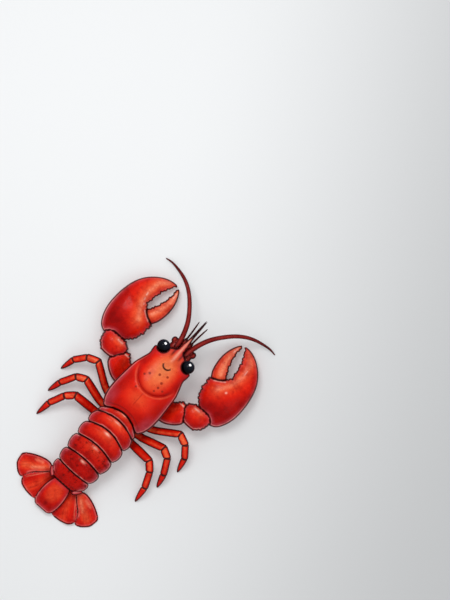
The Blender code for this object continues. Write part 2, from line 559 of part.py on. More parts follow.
def main():
    for old in list(bpy.data.objects):
        bpy.data.objects.remove(old)
    shell = material("cooked shell", (0.62, 0.018, 0.008), 0.28)
    dark_shell = material("dark cooked shell", (0.36, 0.010, 0.008), 0.32)
    leg_shell = material("leg shell", (0.66, 0.030, 0.012), 0.30)
    fan_shell = material("tail fan shell", (0.68, 0.030, 0.010), 0.30)
    feeler_shell = material("feeler shell", (0.30, 0.014, 0.012), 0.36)
    belly_shell = material("belly shell", (0.78, 0.22, 0.10), 0.42)
    eye_black = material("eye black", (0.004, 0.005, 0.006), 0.08)

    add_carapace(shell, eye_black)
    rings = [add_ring(number, dark_shell if number == 5 else shell) for number in range(len(RINGS))]
    add_tail_fan(fan_shell, rings[-1])
    add_sternum(belly_shell)
    for side, sign in SIDES:
        add_eye(f"eye_{side}", sign, eye_black)
        add_feelers(side, sign, feeler_shell)
        add_claw(side, sign, shell)
        tube(f"mouth_limb_{side}", mirrored(MOUTH_LIMB, sign), leg_shell)
        for number in range(len(LEGS)):
            add_leg(number, side, sign, leg_shell)


main()
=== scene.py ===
"""A whole cooked lobster seen from straight above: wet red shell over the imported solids, on a pale table.

Distances inside the modelling functions are in millimetres in the animal's own frame: x across (its left is
positive), ahead from the end of the tail fan, and z up from the table.
"""

import math

import bpy
import numpy as np
from bpy.props import FloatProperty, FloatVectorProperty, PointerProperty
from mathutils import Matrix, Vector
from mathutils.bvhtree import BVHTree
from mathutils.kdtree import KDTree


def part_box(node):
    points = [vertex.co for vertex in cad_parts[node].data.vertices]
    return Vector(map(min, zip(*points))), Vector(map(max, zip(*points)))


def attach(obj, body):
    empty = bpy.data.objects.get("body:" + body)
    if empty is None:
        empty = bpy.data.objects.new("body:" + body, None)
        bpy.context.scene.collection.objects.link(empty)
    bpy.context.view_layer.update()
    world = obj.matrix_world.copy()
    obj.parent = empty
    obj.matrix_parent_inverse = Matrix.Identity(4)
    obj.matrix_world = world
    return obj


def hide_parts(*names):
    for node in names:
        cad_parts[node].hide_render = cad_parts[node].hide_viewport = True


bl_info = {
    "name": "Cooked Lobster",
    "version": (1, 0, 0),
    "blender": (4, 5, 0),
    "location": "View3D > Sidebar > Lobster",
    "description": "Dresses the packed lobster in its shell, eyes and feelers, and sets the table and lights",
    "category": "Object",
}

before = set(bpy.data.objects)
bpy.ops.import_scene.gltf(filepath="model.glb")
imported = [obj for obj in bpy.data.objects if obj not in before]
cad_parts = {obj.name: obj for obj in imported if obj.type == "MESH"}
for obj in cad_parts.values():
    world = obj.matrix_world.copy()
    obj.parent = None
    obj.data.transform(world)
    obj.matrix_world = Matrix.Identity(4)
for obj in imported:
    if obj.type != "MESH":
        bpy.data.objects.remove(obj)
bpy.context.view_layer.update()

BODY = "root"
MM = 0.001
HALF_LENGTH = 155.0  # the origin's distance ahead of the tail fan's end
SIDES = {"left": 1, "right": -1}
QUICK = 1.0

WELD = 0.00001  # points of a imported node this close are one, in metres
TOUCHING = 0.0003  # pieces this close meet, in metres
TABLE_GAP = 0.00002  # no shell is nearer the table than this, in metres
UPRIGHT = 0.16  # the shell counts as upright where its normal rises less than this
SAMPLES = 1500  # points of a shell that are compared with its node

# Photograph's frame: millimetres to a pixel, and which way the animal lies in it
PHOTO_SCALE = 1.14
PHOTO_SIZE = (450, 600)
PHOTO_CENTRE = (0.00118, -0.1618)
PHOTO_UP = (0.6655, -0.7464, 0.0)
PHOTO_RIGHT = (-0.7464, -0.6655, 0.0)
# The table is painted darker one way, as a fall-off of the light across it
DIMMER_WAY = (-0.8987, -0.4385, 0.0)  # the table gets darker this way
DIMMER_SPAN = (-0.04, 0.42)  # from here to there, in metres along it
TABLE_SHARES = (0.97, 0.66)  # share of the table's colour at its bright and its dim end

# Small touches of colour: the brow's paler shell, partly painted highlight; painted highlights on the beak,
# the groove's lip, the rings, lobes, claws and feelers; and dark spots on the head and the tail's middle plate
BROW_LIGHT = (0.74, 0.28, 0.10)
BEAK_HIGHLIGHT = (0.9, 0.38, 0.26)
GROOVE_HIGHLIGHT = (0.84, 0.17, 0.08)
HEAD_SPOT = (0.24, 0.014, 0.006)
RING_HIGHLIGHT = (0.95, 0.50, 0.38)
TELSON_SPOT = (0.12, 0.001, 0.002)
LOBE_HIGHLIGHT = (0.90, 0.27, 0.15)
CLAW_HIGHLIGHT = (0.90, 0.30, 0.17)
CLAW_GLINT = (0.95, 0.52, 0.42)
FEELER_HIGHLIGHT = (0.42, 0.03, 0.02)

COLOUR = {"subtype": "COLOR", "size": 3, "min": 0, "max": 1}


class LobsterColours(bpy.types.PropertyGroup):
    """The colours of the shell and of what lies under it."""

    red: FloatVectorProperty(
        name="Shell red", description="Main colour of the cooked shell", default=(0.68, 0.009, 0.002), **COLOUR)
    # Deep red is the shell's deeper colour, and also painted shade: on the flanks, on faces turned away from the top,
    # away from the claws' lit lines and under each piece's widest place
    deep: FloatVectorProperty(
        name="Deep red", description="Shell on the flanks and towards the rear of each piece",
        default=(0.31, 0.0008, 0.0008), **COLOUR)
    # Warm orange is the shell's paler colour on the head, and also painted light: on the tops of rings and legs, along
    # the lobes' ribs and along the claws' lit lines
    warm: FloatVectorProperty(
        name="Warm orange", description="Paler shell on the head and along the claws",
        default=(0.84, 0.13, 0.04), **COLOUR)
    # Rim crimson is laid on just inside the shell's margins as painted reflected light, and is the knuckles' own colour
    rim: FloatVectorProperty(
        name="Rim crimson", description="Soft bluish red along the margins of the shell",
        default=(0.46, 0.042, 0.06), **COLOUR)
    # Pale pink is a thin painted rim light just inside the margins, and painted highlights
    pale: FloatVectorProperty(
        name="Pale pink", description="Thin pale line inside the margins, and small lights",
        default=(0.86, 0.36, 0.32), **COLOUR)
    joint: FloatVectorProperty(
        name="Joint brown", description="Skin and shadow in the joints", default=(0.022, 0.0025, 0.0025), **COLOUR)
    # Edge brown is painted shade: a dark band where the shell turns down out of the light, an outline when seen from
    # above
    edge: FloatVectorProperty(
        name="Edge brown", description="Dark line along the edges of the shell as seen from above",
        default=(0.036, 0.0025, 0.003), **COLOUR)
    feeler: FloatVectorProperty(
        name="Feeler brown", description="Feelers and their bases", default=(0.16, 0.007, 0.007), **COLOUR)
    belly: FloatVectorProperty(
        name="Belly orange", description="Softer shell of the underside", default=(0.72, 0.20, 0.09), **COLOUR)
    eye: FloatVectorProperty(
        name="Eye black", description="The eyes", default=(0.0002, 0.0002, 0.0004), **COLOUR)


class LobsterSizes(bpy.types.PropertyGroup):
    """How fine the shell is made and how deep its relief is."""

    grain: FloatProperty(
        name="Grain", description="Size of the faces of the finished shell", unit="LENGTH", default=0.00055,
        min=0.0003, max=0.002)
    groove: FloatProperty(
        name="Groove depth", description="Depth of the curved groove across the head shield", unit="LENGTH",
        default=0.001, min=0.0, max=0.002)
    tooth: FloatProperty(
        name="Tooth height", description="Height of the claws' teeth and knobs", unit="LENGTH", default=0.0017,
        min=0.0, max=0.003)
    joint: FloatProperty(
        name="Joint shade", description="How far the dark joint colour spreads from a joint", unit="LENGTH",
        default=0.0017, min=0.0, max=0.005)


class StageSettings(bpy.types.PropertyGroup):
    """The table and the lights."""

    floor: FloatVectorProperty(
        name="Table", description="Colour of the table", default=(0.785, 0.795, 0.797), **COLOUR)
    lift: FloatProperty(
        name="Table lift", description="Light of the table itself, which softens the shadows", default=0.2, min=0,
        max=1)
    key: FloatProperty(
        name="Key light", description="Power of the main softbox, in watts", default=5.0, min=0, max=500)
    glint: FloatProperty(
        name="Glint", description="Power of the small light that shows in the eyes, in watts", default=400.0, min=0,
        max=500)
    fill: FloatProperty(
        name="Fill light", description="Power of the softbox opposite it, in watts", default=1.5, min=0, max=500)
    sky: FloatProperty(
        name="Room light", description="Strength of the light from all round", default=0.72, min=0, max=5)
    lens: FloatProperty(
        name="Lens", description="Focal length of the camera", unit="CAMERA", default=400.0, min=50, max=1000)


# Shapes

def ease(start, end, value):
    """0 at start and 1 at end, smoothly, either way round."""
    t = np.clip((value - start) / (end - start), 0, 1)
    return t * t * (3 - 2 * t)


def bell(distance, width):
    """1 where the distance is 0, and a third of that one width away."""
    return np.exp(-(distance / width) ** 2)


def along(path, x, ahead):
    """Distance in plan to a line of (x, ahead) points, and how far along the line the nearest place is."""
    nearest, place = np.full(len(x), 1e9), np.zeros(len(x))
    start = 0.0
    for (x0, a0), (x1, a1) in zip(path, path[1:]):
        dx, da = x1 - x0, a1 - a0
        span = math.hypot(dx, da)
        t = np.clip(((x - x0) * dx + (ahead - a0) * da) / span ** 2, 0, 1)
        away = np.hypot(x - x0 - t * dx, ahead - a0 - t * da)
        place = np.where(away < nearest, start + t * span, place)
        nearest = np.minimum(nearest, away)
        start += span
    return nearest, place


def to_path(path, x, ahead):
    """Distance in plan to a line of (x, ahead) points."""
    return along(path, x, ahead)[0]


def stops(path, spacing):
    """Points at even steps along a line of points."""
    path = np.array(path, float)
    spans = np.linalg.norm(np.diff(path, axis=0), axis=1)
    at = np.concatenate([[0], np.cumsum(spans)])
    count = max(2, round(at[-1] / spacing) + 1)
    return np.stack([np.interp(np.linspace(0, at[-1], count), at, path[:, k]) for k in range(path.shape[1])], axis=1)


def teeth(points, normals, path, spacing, reach):
    """Rounded teeth of uneven size, up to 1 high, along an edge given as a line of (x, ahead) points."""
    away, place = along(path, points[:, 0], points[:, 1])
    length = sum(math.dist(a, b) for a, b in zip(path, path[1:]))
    step = length / max(1, round(length / spacing))
    number = np.floor(place / step)
    share = place / step - number
    size = 0.72 + 0.28 * np.sin(number * 2.4 + length)
    tooth = np.sqrt(np.clip(1 - (2 * share - 1) ** 2, 0, 1))
    ends = ease(0, step / 2, place) * ease(length, length - step / 2, place)
    return tooth * size * ends * bell(away, reach) * ease(0.9, 0.45, np.abs(normals[:, 2]))


def only(piece):
    """Leaves this piece alone selected and active."""
    bpy.ops.object.select_all(action="DESELECT")
    piece.select_set(True)
    bpy.context.view_layer.objects.active = piece


def modifier(piece, kind, **settings):
    """Adds one modifier with its settings and applies it."""
    made = piece.modifiers.new(kind.title(), kind)
    for key, value in settings.items():
        setattr(made, key, value)
    only(piece)
    bpy.ops.object.modifier_apply(modifier=made.name)


def vectors(mesh):
    """Points and normals of a mesh, in metres."""
    points, normals = (np.empty(len(mesh.vertices) * 3, np.float32) for _ in range(2))
    mesh.vertices.foreach_get("co", points)
    mesh.vertex_normals.foreach_get("vector", normals)
    return points.reshape(-1, 3), normals.reshape(-1, 3)


def read(piece):
    """Points and normals of a piece, in millimetres in the animal's frame."""
    points, normals = (rows.astype(float) for rows in vectors(piece.data))
    return points / MM * (1, -1, 1) + (0, HALF_LENGTH, 0), normals * (1, -1, 1)


def push(piece, depth):
    """Moves each point of a piece out along its normal by this many millimetres."""
    points, normals = vectors(piece.data)
    moved = points + normals * (np.asarray(depth)[:, None] * MM)
    moved[:, 2] = np.maximum(moved[:, 2], TABLE_GAP)
    piece.data.vertices.foreach_set("co", moved.astype(np.float32).reshape(-1))
    piece.data.update()


def rounded(piece, levels):
    """Subdivides a piece smoothly, swelling its cage first so that its corners stay where they were."""
    mesh = piece.data
    corners = vectors(mesh)[0]
    swelling = piece.modifiers.new("Rounding", "SUBSURF")
    swelling.levels = swelling.render_levels = levels
    cage = corners.copy()
    for _ in range(2):
        seen = piece.evaluated_get(bpy.context.evaluated_depsgraph_get()).data
        cage += 0.9 * (corners - vectors(seen)[0][:len(corners)])
        mesh.vertices.foreach_set("co", cage.reshape(-1))
        mesh.update()
        bpy.context.view_layer.update()
    only(piece)
    bpy.ops.object.modifier_apply(modifier=swelling.name)


def surface(mesh):
    """The faces of a mesh, for finding the nearest place on them."""
    return BVHTree.FromPolygons([v.co.copy() for v in mesh.vertices], [tuple(f.vertices) for f in mesh.polygons])


def closed_copy(node, quads=True):
    """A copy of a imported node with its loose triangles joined."""
    piece = bpy.data.objects.new(f"{node}_skin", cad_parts[node].data.copy())
    bpy.context.scene.collection.objects.link(piece)
    piece.data.materials.clear()
    only(piece)
    bpy.ops.object.mode_set(mode="EDIT")
    bpy.ops.mesh.select_all(action="SELECT")
    bpy.ops.mesh.remove_doubles(threshold=WELD)
    if quads:
        bpy.ops.mesh.tris_convert_to_quads()
    bpy.ops.object.mode_set(mode="OBJECT")
    return piece


def skin(node, grain, rounding=3, smoothing=2):
    """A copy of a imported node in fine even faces, with its facets rounded and its girth kept."""
    piece = closed_copy(node)
    whole = surface(piece.data)
    rounded(piece, smoothing)
    modifier(piece, "REMESH", mode="VOXEL", voxel_size=grain * QUICK, use_smooth_shade=True)
    modifier(piece, "SMOOTH", factor=0.5, iterations=rounding)
    for name in [a.name for a in piece.data.attributes if a.name.startswith("custom")]:
        piece.data.attributes.remove(piece.data.attributes[name])
    vertices = piece.data.vertices
    sample = [vertices[i] for i in range(0, len(vertices), max(1, len(vertices) // SAMPLES))]
    lost = [(whole.find_nearest(v.co)[0] - v.co).dot(v.normal) for v in sample]
    push(piece, np.full(len(vertices), max(0.0, float(np.median(lost))) / MM))
    return piece


def nearness(piece, node, reach):
    """1 where the shell meets another piece, falling to 0 at this distance in metres."""
    points, faces = [], []
    for name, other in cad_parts.items():
        if name != node:
            start = len(points)
            points += [v.co.copy() for v in other.data.vertices]
            faces += [tuple(i + start for i in f.vertices) for f in other.data.polygons]
    tree = BVHTree.FromPolygons(points, faces)
    gap = np.array([tree.find_nearest(v.co, reach * 1.2)[3] or reach for v in piece.data.vertices])
    return 1 - ease(TOUCHING, reach, gap)


def paint(piece, colour):
    """Stores one colour for each point of a piece."""
    store = piece.data.color_attributes.new("tint", "FLOAT_COLOR", "POINT")
    rgba = np.ones((len(piece.data.vertices), 4), np.float32)
    rgba[:, :3] = colour
    store.data.foreach_set("color", rgba.reshape(-1))


def layered(colour, *layers):
    """The colours under thin layers of paint, each given as a mask from 0 to 1 and the colour laid on, which is one
    of the lobster's colours by name, or any other colour."""
    for mask, target in layers:
        mask = np.clip(mask, 0, 1)[:, None]
        if isinstance(target, str):
            target = getattr(bpy.context.scene.lobster_colours, target)
        colour = colour * (1 - mask) + np.array(target) * mask
    return colour


def from_outline(piece, points, normals):
    """Distance in plan from each point to the piece's edges as seen from above, where its shell turns upright."""
    bpy.context.view_layer.update()
    whole = BVHTree.FromObject(piece, bpy.context.evaluated_depsgraph_get())
    edge = []
    for index in np.flatnonzero(np.abs(normals[:, 2]) < UPRIGHT):
        vertex = piece.data.vertices[index]
        if whole.ray_cast(vertex.co + vertex.normal * 0.0005, Vector((0, 0, 1)))[0] is None:
            edge.append(points[index])
    tree = KDTree(len(edge))
    for x, ahead, _ in edge:
        tree.insert((x, ahead, 0), 0)
    tree.balance()
    return np.array([tree.find((x, ahead, 0))[2] for x, ahead in points[:, :2]])


def margin(piece, colour, points, normals, line, pink, wash):
    """Painted light and shade along the edges as seen from above: a dark band of painted shade where the shell turns
    down, a thin pale painted rim light just inside it, a soft crimson painted reflected light further in, and deep red
    painted shade under the widest place. Line, pink and wash are each one number for the whole piece, or a function of
    its points."""
    away, up = from_outline(piece, points, normals), normals[:, 2]
    line, pink, wash = (value(points) if callable(value) else value for value in (line, pink, wash))
    above = ease(-0.3, 0.05, up)
    return layered(
        colour,
        (wash * ease(6.5, 1.5, away) * above, "rim"),
        (pink * bell(away - 2.4 * line, 0.45) * above, "pale"),
        (0.8 * ease(0.15, -0.15, up) * ease(-0.95, -0.5, up), "deep"),
        (0.95 * ease(2.1 * line, 1.0 * line, away) * ease(-0.3, 0.3, up), "edge"))


def dress(node, slot, finish, relief=None, tones=None, grain=None, rounding=3, smoothing=2, joint=1.0, reach=1.0,
          line=1.0, pink=0.0, wash=0.0):
    """Makes the shell over one node: its shape, its relief, its colours and its place in the object. Line, pink and
    wash set the painted shade, the pale painted rim light and the crimson painted reflected light along its edges.
    """
    sizes = bpy.context.scene.lobster_sizes
    piece = skin(node, grain or sizes.grain, rounding, smoothing)
    if relief:
        points, normals = read(piece)
        push(piece, relief(points, normals))
    points, normals = read(piece)
    colour = np.tile(np.array(bpy.context.scene.lobster_colours.red), (len(points), 1))
    if tones:
        colour = tones(colour, points, normals)
    colour = margin(piece, colour, points, normals, line, pink, wash)
    # Darker where the shell meets another piece: the joint's skin, and painted shade between the pieces
    colour = layered(colour, (nearness(piece, node, sizes.joint * reach) * joint, "joint"))
    placed(piece, node, finish, colour)


def placed(piece, node, finish, colour=None):
    """Gives a piece its finish, and its colours if it has its own, and puts it in the object instead of its node."""
    if colour is not None:
        paint(piece, colour)
    piece.data.materials.append(finish)
    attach(piece, BODY)
    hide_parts(node)


def knuckle(first, second, finish):
    """Dark skin in the joint between two nodes: a ball set in the end of one where it meets the other."""
    other = surface(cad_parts[second].data)
    close = [v.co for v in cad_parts[first].data.vertices if other.find_nearest(v.co, 0.0012)[0]]
    low, high = (Vector(map(furthest, zip(*close))) for furthest in (min, max))
    bpy.ops.object.select_all(action="DESELECT")
    bpy.ops.mesh.primitive_uv_sphere_add(segments=32, ring_count=16, radius=0.47 * (high - low).length,
                                         location=(low + high) / 2, scale=(0.78, 0.78, 0.68))
    piece = bpy.context.object
    piece.name = f"{first}_joint"
    bpy.ops.object.transform_apply(location=True, rotation=True, scale=True)
    bpy.ops.object.shade_smooth()
    skin_brown = 4 * np.array(bpy.context.scene.lobster_colours.joint)
    paint(piece, np.tile(skin_brown, (len(piece.data.vertices), 1)))
    piece.data.materials.append(finish)
    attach(piece, BODY)


# Finishes

def feed(tree, socket, value):
    """Sets a socket to a value, or links it to the socket that feeds it."""
    if isinstance(value, bpy.types.NodeSocket):
        tree.links.new(value, socket)
    else:
        socket.default_value = value


def wire(tree, kind, **inputs):
    """Adds one shader node. An input is named, or at_ its number, and is a value or the socket that feeds it. A
    setting starts with set_."""
    made = tree.nodes.new(kind)
    for key, value in inputs.items():
        first, _, rest = key.partition("_")
        if first == "set":
            setattr(made, rest, value)
        else:
            feed(tree, made.inputs[int(rest) if first == "at" else key.replace("_", " ")], value)
    return made


def ramp(tree, source, low, high):
    """0 below low, 1 above high, smoothly."""
    made = wire(tree, "ShaderNodeMapRange", Value=source, From_Min=low, From_Max=high,
                set_interpolation_type="SMOOTHSTEP")
    return made.outputs["Result"]


def blend(tree, factor, first, second, kind="MIX"):
    """One colour turned into another by a factor."""
    made = tree.nodes.new("ShaderNodeMix")
    made.data_type = "RGBA"
    made.blend_type = kind
    for place, value in ((0, factor), (6, first), (7, second)):
        feed(tree, made.inputs[place], value)
    return made.outputs[2]


def new_finish(name):
    """A new material with its node tree, its shader, and the places on the object that its patterns follow."""
    made = bpy.data.materials.new(name)
    made.use_nodes = True
    tree = made.node_tree
    return made, tree, tree.nodes["Principled BSDF"], wire(tree, "ShaderNodeTexCoord").outputs["Object"]


def shell_finish(name, roughness=0.34, mottle=0.5, blotch=0.0, specks=0.6, pits=0.10, coat=0.08):
    """Wet cooked shell: its painted tint, cloudy mottling, dark blotches and specks, and fine pits."""
    made, tree, shader, where = new_finish(name)
    tint = wire(tree, "ShaderNodeAttribute", set_attribute_name="tint").outputs["Color"]

    def noise(scale, detail):
        return wire(tree, "ShaderNodeTexNoise", Vector=where, Scale=scale, Detail=detail, Roughness=0.6).outputs[0]

    def times(value, share):
        return wire(tree, "ShaderNodeMath", at_0=value, at_1=share, set_operation="MULTIPLY").outputs[0]

    cloud, medium, fine = noise(90.0, 4.0), noise(240.0, 4.0), noise(520.0, 3.0)
    darker = blend(tree, 1.0, tint, (0.60, 0.22, 0.25, 1), "MULTIPLY")
    colour = blend(tree, times(ramp(tree, cloud, 0.44, 0.66), mottle), tint, darker)
    lighter = blend(tree, 1.0, colour, (1.22, 1.9, 1.8, 1), "MULTIPLY")
    colour = blend(tree, times(ramp(tree, medium, 0.50, 0.68), 0.75 * mottle), colour, lighter)
    stain = blend(tree, 1.0, colour, (0.30, 0.15, 0.15, 1), "MULTIPLY")
    colour = blend(tree, times(ramp(tree, medium, 0.47, 0.34), blotch), colour, stain)
    cells = wire(tree, "ShaderNodeTexVoronoi", Vector=where, Scale=330.0, Randomness=1.0)
    rare = ramp(tree, wire(tree, "ShaderNodeSeparateColor", Color=cells.outputs["Color"]).outputs[0], 0.62, 0.78)
    spotted = times(times(ramp(tree, cells.outputs["Distance"], 0.22, 0.10), rare), specks)
    colour = blend(tree, spotted, colour, blend(tree, 1.0, colour, (0.35, 0.12, 0.12, 1), "MULTIPLY"))
    tree.links.new(colour, shader.inputs["Base Color"])
    rough = wire(tree, "ShaderNodeMapRange", Value=fine, From_Min=0.3, From_Max=0.7, To_Min=roughness - 0.06,
                 To_Max=roughness + 0.10).outputs["Result"]
    tree.links.new(rough, shader.inputs["Roughness"])
    shader.inputs["IOR"].default_value = 1.12
    shader.inputs["Coat Weight"].default_value = coat
    shader.inputs["Coat Roughness"].default_value = 0.14
    pores = wire(tree, "ShaderNodeTexVoronoi", Vector=where, Scale=900.0).outputs["Distance"]
    height = wire(tree, "ShaderNodeMath", at_0=ramp(tree, pores, 0.0, 0.35), at_1=medium,
                  set_operation="ADD").outputs[0]
    bump = wire(tree, "ShaderNodeBump", Height=height, Strength=pits, Distance=0.0004)
    tree.links.new(bump.outputs["Normal"], shader.inputs["Normal"])
    return made


def eye_finish():
    """Glossy black, with the faint net of a compound eye."""
    made, tree, shader, where = new_finish("eye black")
    eye = bpy.context.scene.lobster_colours.eye
    net = wire(tree, "ShaderNodeTexVoronoi", Vector=where, Scale=1600.0).outputs["Distance"]
    colour = blend(tree, ramp(tree, net, 0.1, 0.6), (*eye, 1), (0.0003, 0.0004, 0.0007, 1))
    tree.links.new(colour, shader.inputs["Base Color"])
    shader.inputs["Roughness"].default_value = 0.12
    shader.inputs["IOR"].default_value = 1.15
    bump = wire(tree, "ShaderNodeBump", Height=net, Strength=0.04, Distance=0.0002)
    tree.links.new(bump.outputs["Normal"], shader.inputs["Normal"])
    return made


def finish_named(name, maker, **settings):
    """The finish of this name, made the first time that it is asked for."""
    return bpy.data.materials.get(name) or maker(name, **settings)


# Head shield

GROOVE_CENTRE, GROOVE_RADIUS = 203.0, 24.0
HEAD_SPOTS = ((0.0, 204.6, 1.3), (-8.6, 208.1, 1.2), (9.7, 198.4, 1.3), (-8.0, 198.4, 1.3), (13.7, 193.8, 1.1),
              (-8.6, 192.1, 1.2), (-14.8, 192.1, 1.1), (-7.4, 186.4, 1.0), (11.4, 176.7, 1.1))
HEAD_SPINES = ((4.4, 243.0, 41.0), (3.7, 248.5, 41.0), (13.5, 223.0, 47.0))
BROW = {"half": 5.0, "lowest": 213.1, "highest": 216.1}


def crease_distance(x, ahead):
    """Distance to the short curved crease on the brow."""
    sag = BROW["highest"] - BROW["lowest"]
    radius = (BROW["half"] ** 2 + sag ** 2) / (2 * sag)
    centre = BROW["lowest"] + radius
    on_arc = np.abs(np.hypot(x, ahead - centre) - radius)
    ends = np.hypot(np.abs(x) - BROW["half"], ahead - BROW["highest"])
    return np.where((np.abs(x) < BROW["half"]) & (ahead < centre), on_arc, ends)


def from_rear(x, ahead):
    """How far ahead of the shield's curved rear edge a point is."""
    return ahead - (145 - 9 * (x / 25.4) ** 2)


def head_relief(points, normals):
    x, ahead, z = points.T
    above = ease(0.0, 0.35, normals[:, 2])
    ring = np.hypot(x, ahead - GROOVE_CENTRE)
    behind = ease(200, 188, ahead)
    depth = -bpy.context.scene.lobster_sizes.groove / MM * bell(ring - GROOVE_RADIUS, 1.1) * behind
    depth += 0.25 * ease(GROOVE_RADIUS - 0.5, GROOVE_RADIUS - 5, ring) * behind
    depth -= 0.4 * bell(x, 0.5) * ease(157, 162, ahead) * ease(178, 174, ahead)
    depth -= 0.5 * bell(from_rear(x, ahead) - 4.2, 0.9)
    depth += 0.8 * bell(x, 1.4) * ease(217, 234, ahead)
    depth -= 0.5 * bell(np.abs(x) - 3.6, 1.2) * ease(222, 230, ahead) * ease(246, 238, ahead)
    depth -= 0.6 * bell(crease_distance(x, ahead), 0.8)
    depth = depth * above
    for spine_x, spine_ahead, spine_z in HEAD_SPINES:
        depth += bell(np.sqrt((np.abs(x) - spine_x) ** 2 + (ahead - spine_ahead) ** 2 + (z - spine_z) ** 2), 1.3)
    return depth


# Head paint: a pale disc and brow, dark spots, painted highlights on the beak and the groove's lip, and painted shade
# on the flanks, beside the beak and eyes, in the grooves and in the brow crease
def head_tones(colour, points, normals):
    x, ahead, _ = points.T
    side = np.abs(x)
    ring = np.hypot(x, ahead - GROOVE_CENTRE)
    disc = np.hypot(x / 17.5, (ahead - 206) / 25)
    inside = ease(GROOVE_RADIUS + 1, GROOVE_RADIUS - 3, ring) + ease(206, 214, ahead)
    return layered(
        colour,
        # painted shade on the flanks, and darker towards the rear
        (0.65 * ease(12, 27, side) * ease(200, 172, ahead), "deep"),
        (0.60 * ease(163, 146, ahead), "deep"),
        # the pale disc and brow: paler shell, partly painted highlight
        (0.42 * bell(x, 12) * bell(ahead - 168, 9), "warm"),
        (0.72 * ease(1.2, 0.4, disc) * np.clip(inside, 0, 1), "warm"),
        (0.50 * bell(x, 9) * bell(ahead - 213, 17), BROW_LIGHT),
        # darker beside the eyes, warmer on the forehead's sides
        (0.6 * ease(17, 24, side) * ease(230, 222, ahead) * ease(196, 206, ahead), "deep"),
        (0.4 * bell(side - 8.5, 5) * bell(ahead - 229, 8), "warm"),
        # painted highlight along the beak, and painted shade in the grooves beside it and beside the eyes
        (0.8 * bell(x, 1.7) * ease(221, 230, ahead), BEAK_HIGHLIGHT),
        (0.85 * bell(side - 5.2, 1.5) * ease(226, 234, ahead), "joint"),
        (0.55 * bell(side - 13, 4) * bell(ahead - 233, 6), "joint"),
        # painted shade in the curved groove and just inside it, and a painted highlight on its outer lip
        (0.35 * bell(ring - GROOVE_RADIUS + 0.2, 0.9) * ease(202, 190, ahead), "joint"),
        (0.55 * bell(ring - GROOVE_RADIUS + 1.2, 2.6) * ease(208, 192, ahead), "deep"),
        (0.32 * bell(ring - GROOVE_RADIUS - 2.2, 1.0) * ease(202, 188, ahead), GROOVE_HIGHLIGHT),
        # painted shade in the groove down the middle and in the groove along the rear edge
        (0.6 * bell(x, 0.5) * ease(157, 162, ahead) * ease(178, 174, ahead), "deep"),
        (0.4 * bell(from_rear(x, ahead) - 4.0, 1.0), "joint"),
        # painted reflected light on the rear of the flanks
        (0.65 * (ease(16, 27, side) * ease(168, 150, ahead)), "rim"),
        *((0.85 * ease(1.6 * radius, 0.8 * radius, np.hypot(x - spot_x, ahead - spot_ahead)), HEAD_SPOT)
          for spot_x, spot_ahead, radius in HEAD_SPOTS),
        # painted shade in the brow crease
        (0.95 * ease(1.5, 0.5, crease_distance(x, ahead)), "joint"))


# Share of the crimson painted reflected light on the head: on the rear of the flanks, and some towards the front
def head_wash(points):
    side, ahead = np.abs(points[:, 0]), points[:, 1]
    return 0.85 * ease(205, 175, ahead) * ease(16, 24, side) + 0.25 * ease(200, 225, ahead)


# Share of the pale painted rim light on the head's flanks, towards the rear
def head_pink(points):
    return 0.5 * ease(14, 23, np.abs(points[:, 0])) * ease(218, 196, points[:, 1])


class LOBSTER_OT_head(bpy.types.Operator):
    """Makes the head shield with its groove, beak, spots and pale brow"""

    bl_idname = "lobster.head"
    bl_label = "Head shield"

    def execute(self, context):
        finish = finish_named("head shell", shell_finish, mottle=0.35, specks=0.45)
        dress("carapace", "carapace_shell", finish, head_relief, head_tones, line=0.8, pink=head_pink,
              wash=head_wash)
        return {"FINISHED"}


# Abdomen

# Each ring's front and rear edge at the ridge, how far those edges bow at the sides, and its half width
RINGS = ((144.4, 135.0, 8.0, 25.4), (134.4, 118.4, 6.8, 29.8), (117.8, 97.6, 5.8, 29.6), (97.0, 76.5, 3.7, 28.2),
         (75.9, 55.9, 0.6, 26.3), (55.3, 38.4, -1.1, 24.3))

RING_DARK = (0.25, 0.05, 0.12, 0.35, 0.62, 0.6)  # how deep a red each ring is
# Strength of the painted highlight at the front of each ring
RING_PAINTED_HIGHLIGHT = (0.55, 0.7, 0.8, 0.5, 0.6, 0.0)  # the small light at the front of each ring


def ring_share(number, points):
    """How far along a ring each point is: 0 at its front edge and 1 at its rear edge."""
    front, rear, bow, half_width = RINGS[number]
    x, ahead = points[:, 0], points[:, 1]
    return (front - bow * (x / half_width) ** 2 - ahead) / (front - rear)


def ring_relief(number):
    def relief(points, normals):
        share, side = ring_share(number, points), np.abs(points[:, 0])
        half_width = RINGS[number][3]
        above = ease(-0.2, 0.2, normals[:, 2])
        depth = -0.22 * bell(share - 0.27, 0.05) * ease(half_width - 6, half_width - 12, side)
        depth -= 0.4 * bell(share - 0.84, 0.05)
        depth += 0.3 * bell(share - 0.95, 0.045)
        if number == 5:
            depth += (0.35 + 0.3 * np.sin(points[:, 0] * 1.5)) * ease(0.75, 1.0, share)
        return depth * above
    return relief


def ring_tones(number):
    dark, half_width = RING_DARK[number], RINGS[number][3]

    def tones(colour, points, normals):
        share, side = ring_share(number, points), np.abs(points[:, 0])
        return layered(
            colour,
            # the ring's own deeper red, with painted shade on its flanks, and darker towards its rear edge
            (dark + 0.5 * ease(12, half_width, side), "deep"),
            (0.65 * ease(0.5, 0.95, share), "deep"),
            # painted light on the top of the ring, and a painted highlight near its front
            ((0.50 - 0.85 * dark) * bell(side, 12) * bell(share - 0.28, 0.26), "warm"),
            (RING_PAINTED_HIGHLIGHT[number] * bell(points[:, 0] + 0.8, 3.8) * bell(share - 0.17, 0.07), RING_HIGHLIGHT),
            (0.8 * ease(-0.1, -0.6, normals[:, 2]), "belly"))
    return tones


